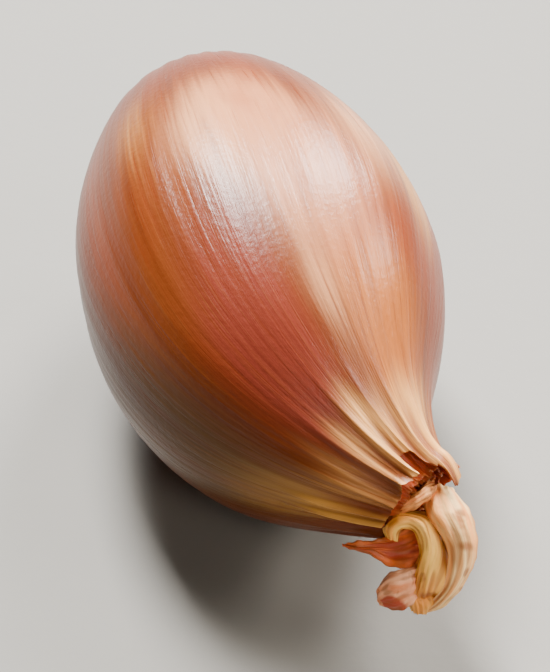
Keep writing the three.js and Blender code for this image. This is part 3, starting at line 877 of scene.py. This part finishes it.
LOBE = [
    [[40.4, 8.8, 12.7], [41.3, 8.7, 12], [41.7, 8.5, 10.7], [41.9, 8.1, 9.2]],
    [[40.9, 7.4, 13.3], [42, 7.3, 12.7], [42.6, 7.1, 11.4], [42.6, 7.1, 9.1]],
    [[41, 6, 13.1], [42.3, 5.8, 12.6], [42.7, 5.7, 11.1], [42.7, 5.9, 8.4]],
    [[40.8, 4.9, 12.4], [41.9, 4.6, 12.1], [42.5, 4.7, 10.7], [42.2, 5, 8.1]],
    [[40.7, 4.1, 11.1], [41.5, 3.8, 11], [41.9, 3.8, 10.1], [41.9, 4.2, 8.5]],
    [[40.9, 3.7, 9.9], [41.3, 3.5, 9.7], [41.5, 3.6, 9.3], [41.7, 3.9, 8.7]],
]
BAND = [
    [[34.5, 5.1, 16.7], [35.7, 4.8, 17.1], [35.7, 4.9, 16]],
    [[35.9, 6.4, 18.5], [37.1, 6.2, 18.7], [37, 6.3, 17.6]],
    [[36.4, 7.6, 19.5], [37.7, 7.4, 19.7], [37.6, 7.6, 18.3]],
    [[36.5, 8.9, 20.2], [37.9, 8.7, 20.4], [37.7, 8.9, 18.9]],
    [[36.1, 10.1, 20.8], [37.7, 9.9, 20.9], [37.5, 9.9, 19.2]],
    [[34.8, 11.4, 19.7], [36.5, 11.2, 20.3], [36.7, 10.9, 18.8]],
]


print("rows of the nets:", *[len(net) for net in (RIBBON, GOLDEN, LINING, LOBE, BAND)])


# %% A net as a sheet
LEAF_THICKNESS = 0.3
RAGGED_EDGE = 0.16  # how far a leaf's edges wander
CRINKLE = 0.1  # height of its ridges and wrinkles
GRAIN_ACROSS, GRAIN_ALONG = 4, 12  # size of a leaf's fibre coordinates
SEED_STEP = 40  # keeps the patterns of two leaves apart


def spots(places, along, across):
    """Sum of bells: each has a place along and across, its two widths and its strength."""
    total = 0 * along * across
    for at, over, length, width, strength in places:
        far = ((along - at) / length) ** 2 + ((across - over) / width) ** 2
        total += strength * np.exp(-far)
    return total


def leaf(name, net, tone, seed, rows=150, columns=64, fibres=9, torn=(), stain=()):
    """The net's smooth surface plus fibre ridges, cross wrinkles, crinkles and ragged edges."""
    along = np.linspace(0, 1, rows)[:, None]
    across = np.linspace(0, 1, columns)[None, :]
    points = through(through(net, along[:, 0]).transpose(1, 0, 2), across[0]).transpose(1, 0, 2)
    ahead, side = unit(np.gradient(points, axis=0)), unit(np.gradient(points, axis=1))
    out = unit(np.cross(ahead, side))
    phase = np.random.default_rng(seed).uniform(0, 6.28, 4)
    rim = np.abs(2 * across - 1) ** 8 * np.sign(across - 0.5)
    end = np.maximum(2 * along - 1, 0) ** 12
    ragged_by = RAGGED_EDGE * ripples(points, 1.3, seed + 50)[..., None]
    points = points + ragged_by * (side * rim[..., None] + ahead * end[..., None])
    over, up = np.broadcast_arrays(GRAIN_ACROSS * across + SEED_STEP * seed, GRAIN_ALONG * along)
    coordinates = np.stack([over, 0 * up, up], -1)
    fibre = np.sin(fibres * math.pi * across + 1.5 * np.sin(4 * along + phase[0]) + phase[1])
    wrinkle = np.sin(25 * along + 3 * across + 2 * np.sin(7 * along + phase[2]))
    bumpy = 0.6 * fibre + 0.3 * wrinkle + 0.9 * ripples(coordinates * [1, 1, 0.4], 1.3, seed)
    points = points + out * (CRINKLE * bumpy)[..., None]
    thick = out * (LEAF_THICKNESS / 2 * (1 - 0.7 * np.abs(rim)))[..., None]
    closed_sheet(name, points + thick, points - thick, leaf_paper[tone], "dried_leaf",
                 "neck_leaves", grain=coordinates, edge=np.abs(2 * across - 1) + 0 * along,
                 torn=spots(torn, along, across), stain=spots(stain, along, across),
                 crease=np.clip(-bumpy, 0, 1.5))


# %% The five leaves
# The ribbon's stains are brown spots, and the one along its left edge is painted shade beside the
# golden sheath
leaf("cream_ribbon", RIBBON, "cream", seed=1, rows=190, columns=72,
     torn=[(1, 0.5, 0.05, 1, 0.7)],
     stain=[(0.24, 0.74, 0.03, 0.12, 1.5), (0.45, 0.62, 0.035, 0.24, 1.4),
            (0.6, 0.72, 0.035, 0.14, 1.5), (0.78, 0.8, 0.08, 0.2, 1), (0.3, 0, 0.25, 0.07, 1.1)])
# Along its outer side the golden sheath's stains are partly painted shade
leaf("golden_sheath", GOLDEN, "golden", seed=4, rows=190, columns=90, fibres=15,
     torn=[(0.5, 0, 0.8, 0.12, 0.9)],
     stain=[(0.8, 0.62, 0.05, 0.16, 1.3), (0.2, 0.75, 0.16, 0.12, 1.1),
            (0.42, 0.78, 0.16, 0.12, 1.3), (0.52, 0.85, 0.1, 0.1, 1)])
leaf("orange_lining", LINING, "orange", seed=2, columns=72, torn=[(0.6, 0.5, 0.2, 0.4, 1)])
leaf("pink_lobe", LOBE, "pink", seed=3, rows=110,
     torn=[(0.64, 0.82, 0.18, 0.22, 1.7), (0.42, 0.97, 0.16, 0.16, 1.2)],
     stain=[(0.1, 0.1, 0.2, 0.2, 0.6)])
leaf("neck_band", BAND, "peach", seed=5, rows=110, columns=48,
     torn=[(0.5, 1, 0.5, 0.2, 0.9), (0.5, 0, 0.5, 0.15, 0.9)])

# %% [markdown]
# ## The root end
# The root plate is a short corky stub with a dark rim, a lathe with a rough surface. Dried
# rootlets stand out of it, each a thin tapering cord that curls its own way. Hair particles could
# make them, but they aren't a solid mesh. So all of them are computed at once as one array: a
# random walk for each, and a narrow tube round it.

# %% Roots' finish
ROOT_BROWN = (0.11, 0.052, 0.022, 1)
ROOT_STRAW = (0.52, 0.30, 0.10, 1)
ROOT_BASE = (0.035, 0.02, 0.012, 1)


def root_finish():
    """Straw and dark brown by noise, darker towards the base."""
    f = Finish("dried_root")
    place = f.add("TexCoord", "Object")
    colour = f.blend(f.step(f.noise(place, 900, 4), 0.35, 0.65), ROOT_BROWN, ROOT_STRAW)
    colour = f.cover(colour, ROOT_BASE, f.carried("base"), 0.85)
    normal = f.relief(f.noise(place, 2500, 5), 0.12)
    return f.done(colour, 0.8, normal)


dried_root = root_finish()

# %% Root plate
PLATE_OUTLINE = [
    [-1.8, 0], [-1.8, 1], [-1.7, 2.6], [-1.5, 3.6], [-0.9, 4.2], [0, 4.25],
    [0.5, 4.1], [0.9, 3.7], [0.9, 1], [0.9, 0.2],
]
PLATE_SIDES, PLATE_ROWS = 120, 70


def root_plate():
    """Lathe of a B-spline profile with cork-like ripples."""
    angle = np.arange(PLATE_SIDES)[None, :] * 2 * math.pi / PLATE_SIDES
    profile = b_spline(PLATE_OUTLINE, np.linspace(0, 1, PLATE_ROWS))
    station, radius = profile[:, :1] + 0 * angle, profile[:, 1:] + 0 * angle
    points = around_axis(station, angle, radius)
    rough = 0.10 * ripples(points, 0.9, 51) + 0.06 * ripples(points, 0.45, 52)
    shrink = 1 + (rough - 0.1) / 4
    points = around_axis(station - 0.1 * rough, angle, radius * shrink)
    base = ramp(radius, 3.0, 3.9)
    closed_skin("root_plate_cork", points, dried_root, "dried_root", "root_plate", base=base)


root_plate()

# %% Lines of the rootlets
ROOTLETS = 240
ROOTLET_LENGTH = [2.6, 5.8]
ROOT_STEPS, ROOT_SIDES = 14, 5
ROOT_RADIUS, ROOT_TIP = 0.2, 0.35  # radius at the base, and the tip's share of it
WANDER = 0.32  # how much a heading changes at each step
REACH = -39.9  # just inside the solid's own end; no rootlet goes past it
TUFT_TOP, TUFT_BEND, TUFT_SLOPE = 4, -36, 0.9  # over the axis; it slopes down past the bend


def rootlet_lines(random):
    """Random walk of each heading from a golden-angle place on the plate."""
    place = np.arange(ROOTLETS)
    angle = place * math.pi * (3 - math.sqrt(5))
    spread = np.sqrt((place + 0.5) / ROOTLETS)
    out = np.stack([0 * angle, np.sin(angle), np.cos(angle)], -1)
    start = np.array([-REST_STATION - PLATE_RISE + 0.6, 0, AXIS_HEIGHT])
    start = start + out * (spread * (PLATE_RADIUS - 0.4))[:, None]
    length = random.uniform(*ROOTLET_LENGTH, ROOTLETS)
    lean = (0.2 + 0.9 * spread * random.uniform(0, 1, ROOTLETS))[:, None]
    first = np.array([-1.0, 0, 0]) + out * lean
    walk = random.normal(size=(ROOTLETS, ROOT_STEPS, 3)) * WANDER
    heading = first[:, None] + np.cumsum(walk, 1)
    heading[..., 0] = np.minimum(heading[..., 0], -0.2)
    heading[..., 2] = np.minimum(heading[..., 2], 0.1) - 0.1
    heading = unit(heading)
    line = start[:, None] + np.cumsum(heading * (length / ROOT_STEPS)[:, None, None], 1)
    line[..., 0] = np.maximum(line[..., 0], REACH)
    past = np.minimum(line[..., 0] - TUFT_BEND, 0)
    highest = AXIS_HEIGHT + TUFT_TOP + TUFT_SLOPE * past
    line[..., 2] = np.minimum(line[..., 2], highest)
    print(f"{ROOTLETS} rootlets, mean length {length.mean():.1f} mm")
    return line, heading


# %% Tubes round the lines
def rootlets():
    """A tapering ring of a few points round each point of each line, with a pole at both ends."""
    random = np.random.default_rng(7)
    line, heading = rootlet_lines(random)
    side = unit(np.cross(heading, [0.1, 0.4, 1.0]))
    other = np.cross(heading, side)
    turn = np.arange(ROOT_SIDES) * 2 * math.pi / ROOT_SIDES
    taper = np.linspace(1, ROOT_TIP, ROOT_STEPS) * (1 + 0.2 * random.normal(size=(ROOTLETS, 1)))
    thin = ROOT_RADIUS * random.uniform(0.6, 1.1, (ROOTLETS, 1)) * np.abs(taper)
    ring = side[:, :, None] * np.cos(turn)[:, None] + other[:, :, None] * np.sin(turn)[:, None]
    rings = line[:, :, None] + ring * thin[..., None, None]
    count = ROOT_STEPS * ROOT_SIDES
    points = np.concatenate([rings.reshape(ROOTLETS, count, 3), line[:, [0, -1]]], 1)
    base = np.repeat(np.linspace(0.8, 0, ROOT_STEPS), ROOT_SIDES)
    base = np.tile(np.concatenate([base, [0.8, 0]]), ROOTLETS)
    shift = np.arange(ROOTLETS)[:, None, None] * (count + 2)
    groups = [(grid_faces(ROOT_STEPS, ROOT_SIDES) + shift).reshape(-1, 4),
              (end_fans(ROOT_STEPS, ROOT_SIDES) + shift).reshape(-1, 3)]
    piece("rootlets", flat(points), groups, dried_root, "dried_root", "root_plate", base=base)


rootlets()

# %% [markdown]
# ## Torn skin round the root plate
# The dry skins end in a ragged fringe round the root plate. A ring of flat shreds would look
# stuck on, so it is a thin band just above the bulb's own surface, whose edge lifts off.


# %% Root fringe
FRINGE_ROWS = 34
FRINGE_START, FRINGE_EDGE = 0.15, 0.045  # as shares of the outline's length
FRINGE_LIFT, FRINGE_THICKNESS = 0.5, 0.12
AHEAD = 0.004  # share of the outline used for its direction


def root_fringe():
    """Outline points from under the bulb's surface back to the plate, the edge lifted off."""
    share = np.linspace(0, 1, FRINGE_ROWS)[:, None]
    edge = FRINGE_EDGE + 0.016 * ragged(around, seed=61, size=-0.8)
    start = FRINGE_START + 0.02 * ragged(around, seed=63)
    t = start + share * (edge - start)
    outline = b_spline(OUTLINE, t)
    ahead = unit(b_spline(OUTLINE, t + AHEAD) - b_spline(OUTLINE, t - AHEAD * (t > AHEAD)))
    away = np.stack([-ahead[..., 1], ahead[..., 0]], -1)
    lift = FRINGE_LIFT * share**2 * (1 + 0.7 * ripples(grain(0, around), 4, seed=62))
    lift = lift + 0.14 * share - 0.04
    upper = outline + away * lift[..., None]
    lower = outline + away * (lift[..., None] - FRINGE_THICKNESS)
    both = np.concatenate([upper, lower[::-1]])
    station, radius = both[..., 0], both[..., 1]
    radius = radius + relief(station, around)
    masks = tones(station, around)
    torn = np.concatenate([share, share[::-1]]) + 0 * around
    uneven = 0.25 * ripples(grain(0, around), 3, seed=64)
    masks["straw"] = 0.9 * ramp(torn + uneven, 0.35, 0.95)
    closed_band("root_fringe", around_axis(station, around, radius), skin, "bulb_skin",
                inside=0 * station, **masks)


root_fringe()

# %% [markdown]
# ## The table and the light
# The bulb lies on a plain pale table. The main light is a large window behind it and to the left.
# It is made of two halves, the right one dimmer and lower, and draws the long sheen over the top
# of the bulb. Two weak lamps on the right and one in front of the neck stand for the room's
# walls, and keep the shade warm and open. A bright world would light the bulb from all sides and
# wash its colours out, so the world is nearly dark.

# %% Floor
FLOOR_TONES = (0.17, 0.161, 0.146, 1), (0.19, 0.18, 0.163, 1)
FLOOR_HALF = 2.5  # metres
FLOOR_DROP = 0.00002  # metres; the bulb's flat spot and the floor share no plane


def floor_finish():
    """Light grey with a faint cloudiness, which the window brings up to a pale tone."""
    f = Finish("pale_floor")
    place = f.add("TexCoord", "Object")
    colour = f.blend(f.noise(place, 9, 3), *FLOOR_TONES)
    return f.done(colour, 0.7, f.relief(f.noise(place, 350, 3), 0.05))


floor_mesh = bpy.data.meshes.new("floor")
corners = np.array([[-1, -1], [1, -1], [1, 1], [-1, 1]]) * FLOOR_HALF
floor_mesh.from_pydata([(x, y, -FLOOR_DROP) for x, y in corners.tolist()], [], [(0, 1, 2, 3)])
floor_mesh.materials.append(floor_finish())
floor = bpy.data.objects.new("floor", floor_mesh)
bpy.context.scene.collection.objects.link(floor)

# %% Lights
LIGHTS = [
    # name, azimuth, elevation, distance mm, width m, height m, power W, colour
    ("window", -84, 53, 1300, 0.38, 0.95, 10.5, (1.0, 0.99, 0.96)),
    ("window_right_half", -130, 36, 1300, 0.42, 0.7, 5.0, (1.0, 0.98, 0.94)),
    ("side_back", -168, 28, 1300, 0.3, 0.4, 1.3, (1.0, 0.96, 0.88)),
    ("side", 150, 36, 1300, 0.5, 0.5, 0.8, (1.0, 0.95, 0.85)),
    ("front", 104, 34, 1300, 0.4, 0.4, 0.6, (1.0, 0.94, 0.84)),
]
BEAM = 50  # degrees; narrow beams keep the far floor and its glare down
ROOM_TONE, ROOM_STRENGTH = (0.85, 0.80, 0.74, 1), 0.06

for name, azimuth, elevation, distance, width, height, power, colour in LIGHTS:
    data = bpy.data.lights.new(name, "AREA")
    data.shape, data.spread = "RECTANGLE", math.radians(BEAM)
    data.size, data.size_y, data.energy, data.color = width, height, power, colour
    lamp = bpy.data.objects.new(name, data)
    lamp.visible_camera = False
    aim(lamp, azimuth, elevation, distance, LOOK_AT)

world = bpy.data.worlds.new("soft_room")
world.use_nodes = True
background = world.node_tree.nodes["Background"]
background.inputs["Color"].default_value = ROOM_TONE
background.inputs["Strength"].default_value = ROOM_STRENGTH
bpy.context.scene.world = world
print(f"{len(LIGHTS)} lamps, {sum(light[6] for light in LIGHTS):.1f} W in all")
